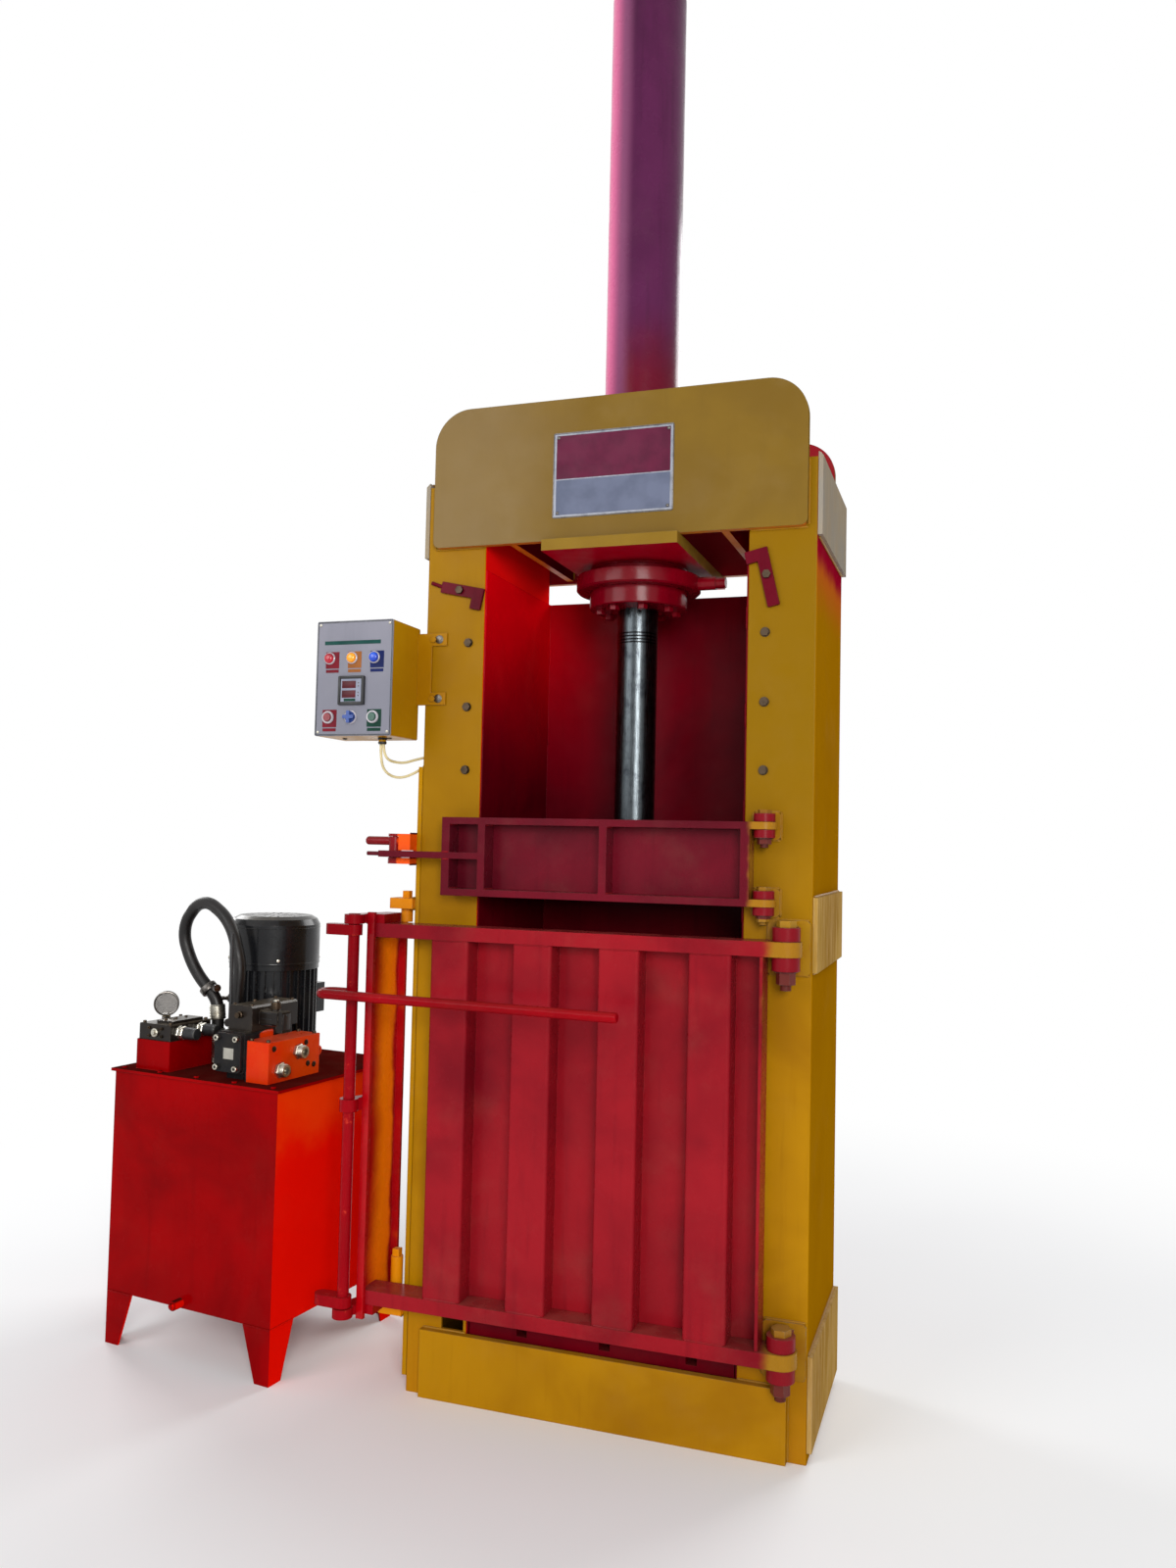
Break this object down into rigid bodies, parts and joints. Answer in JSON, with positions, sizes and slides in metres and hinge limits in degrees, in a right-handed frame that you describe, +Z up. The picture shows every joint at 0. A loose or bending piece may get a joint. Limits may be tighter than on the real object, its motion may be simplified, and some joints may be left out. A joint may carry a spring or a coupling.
{
  "type": "recycling baler",
  "caption": "Vertical hydraulic baler with a two-column press frame, long cylinder and ram, feed door, bale door with lock shaft, control box and separate power pack.",
  "frame": {"origin": "on the floor under the ram's axis, midway between the press columns' fronts and backs", "axes": "+Z up along the ram, +X to the operator's right along the columns, -Y towards the operator, who faces the doors"},
  "size_m": [1.9963, 0.7723, 3.828],
  "materials": {
    "panel_paint": "satin pale grey",
    "yellow_paint": "gloss golden yellow, dusty",
    "red_paint": "gloss signal red with yellow overspray at the edges",
    "maroon_paint": "gloss dark red",
    "black_paint": "gloss black",
    "zinc_steel": "zinc plated",
    "hard_chrome": "polished",
    "dark_steel": "oiled, dark",
    "plate_metal": "printed plate",
    "black_plastic": "satin",
    "lamp_plastic": "clear coloured lenses",
    "red_plastic": "gloss",
    "green_plastic": "gloss",
    "blue_plastic": "gloss",
    "cable_sheath": "cream",
    "hose_rubber": "braided, dull",
    "cast_body": "painted black"
  },
  "bodies": {
    "press_frame": {"left_column": "yellow_paint", "right_column": "yellow_paint", "head_front_plate": "yellow_paint", "head_back_plate": "yellow_paint", "head_webs": "red_paint", "cylinder_mount_plate": "yellow_paint", "side_plates": "yellow_paint", "sill_plates": "yellow_paint", "base_frame": "red_paint", "chamber_floor": "red_paint", "chamber_walls": "red_paint", "column_bolts": "dark_steel", "name_plate": "plate_metal", "hinge_brackets": "yellow_paint", "hinge_pins": "yellow_paint", "lock_keepers": "yellow_paint", "latch_bracket": "red_paint", "cylinder_tube": "maroon_paint", "cylinder_flange": "red_paint", "rod_gland": "red_paint", "gland_bolts": "dark_steel", "control_box": "yellow_paint", "control_panel": "panel_paint", "pilot_lamps": "lamp_plastic", "panel_meter": "black_plastic", "box_bracket": "zinc_steel", "upper_cable": "cable_sheath", "lower_cable": "cable_sheath", "oil_tank": "red_paint", "tank_legs": "red_paint", "tank_lid": "red_paint", "tank_pump": "cast_body", "motor_body": "black_paint", "motor_cowl": "black_paint", "left_valve": "cast_body", "pressure_gauge": "zinc_steel", "pipe_fittings": "zinc_steel", "suction_hose": "hose_rubber", "valve_stack": "cast_body", "pump_block": "cast_body"},
    "ram": {"ram_rod": "hard_chrome", "ram_piston": "dark_steel", "ram_platen": "red_paint"},
    "bale_door": {"bale_door_bars": "red_paint", "bale_door_panel": "red_paint", "bale_door_end_channel": "red_paint", "lock_arms": "red_paint"},
    "lock": {"lock_shaft": "red_paint", "lock_handle": "red_paint"},
    "feed_door": {"feed_door_frame": "red_paint", "feed_door_sheet": "red_paint"},
    "latch": {"latch_hook": "red_paint"},
    "catch_left": {"left_catch": "red_paint"},
    "catch_right": {"right_catch": "red_paint"},
    "stop": {"stop_button": "red_plastic"},
    "start": {"start_button": "green_plastic"},
    "selector": {"selector_knob": "blue_plastic"},
    "needle": {"gauge_needle": "black_plastic"},
    "fan": {"motor_fan": "black_plastic"},
    "lever": {"hand_lever": "black_paint"}
  },
  "joints": [
    {"name": "ram_slide", "type": "slide", "parent": "press_frame", "child": "ram", "axis": [0, 0, 1], "range_m": [-0.95, 0.415]},
    {"name": "bale_door_swing", "type": "hinge", "parent": "press_frame", "child": "bale_door", "pos_m": [0.468, -0.292, 0.7], "axis": [0, 0, 1], "range_deg": [0, 110]},
    {"name": "lock_turn", "type": "hinge", "parent": "bale_door", "child": "lock", "pos_m": [-0.645, -0.368, 0.7], "axis": [0, 0, 1], "range_deg": [-85, 3]},
    {"name": "feed_door_swing", "type": "hinge", "parent": "press_frame", "child": "feed_door", "pos_m": [0.4105, -0.282, 1.4], "axis": [0, 0, 1], "range_deg": [0, 110]},
    {"name": "latch_turn", "type": "hinge", "parent": "press_frame", "child": "latch", "pos_m": [-0.589, -0.262, 1.42], "axis": [0, 0, 1], "range_deg": [0, 90]},
    {"name": "left_catch_swing", "type": "hinge", "parent": "press_frame", "child": "catch_left", "pos_m": [-0.423, -0.247, 2.113], "axis": [0, 1, 0], "range_deg": [-60, 75]},
    {"name": "right_catch_swing", "type": "hinge", "parent": "press_frame", "child": "catch_right", "pos_m": [0.4015, -0.247, 2.113], "axis": [0, 1, 0], "range_deg": [-90, 30]},
    {"name": "stop_press", "type": "slide", "parent": "press_frame", "child": "stop", "axis": [0, 1, 0], "range_m": [0, 0.004], "stiffness_N_per_m": 400},
    {"name": "start_press", "type": "slide", "parent": "press_frame", "child": "start", "axis": [0, 1, 0], "range_m": [0, 0.004], "stiffness_N_per_m": 400},
    {"name": "selector_turn", "type": "hinge", "parent": "press_frame", "child": "selector", "pos_m": [-0.6645, -0.39, 1.761], "axis": [0, 1, 0], "range_deg": [-45, 45]},
    {"name": "gauge_hand", "type": "hinge", "parent": "press_frame", "child": "needle", "pos_m": [-1.37163, -0.17433, 0.947], "axis": [0.57, -0.8216, 0], "range_deg": [-270, 0], "stiffness_Nm_per_rad": 0.002},
    {"name": "motor_spin", "type": "hinge", "parent": "press_frame", "child": "fan", "pos_m": [-1.13889, 0.02288, 1.1], "axis": [0, 0, 1], "continuous": true},
    {"name": "valve_lever", "type": "hinge", "parent": "press_frame", "child": "lever", "pos_m": [-1.12859, -0.20525, 0.912], "axis": [0.1262, 0.992, 0], "range_deg": [-15, 15]}
  ]
}
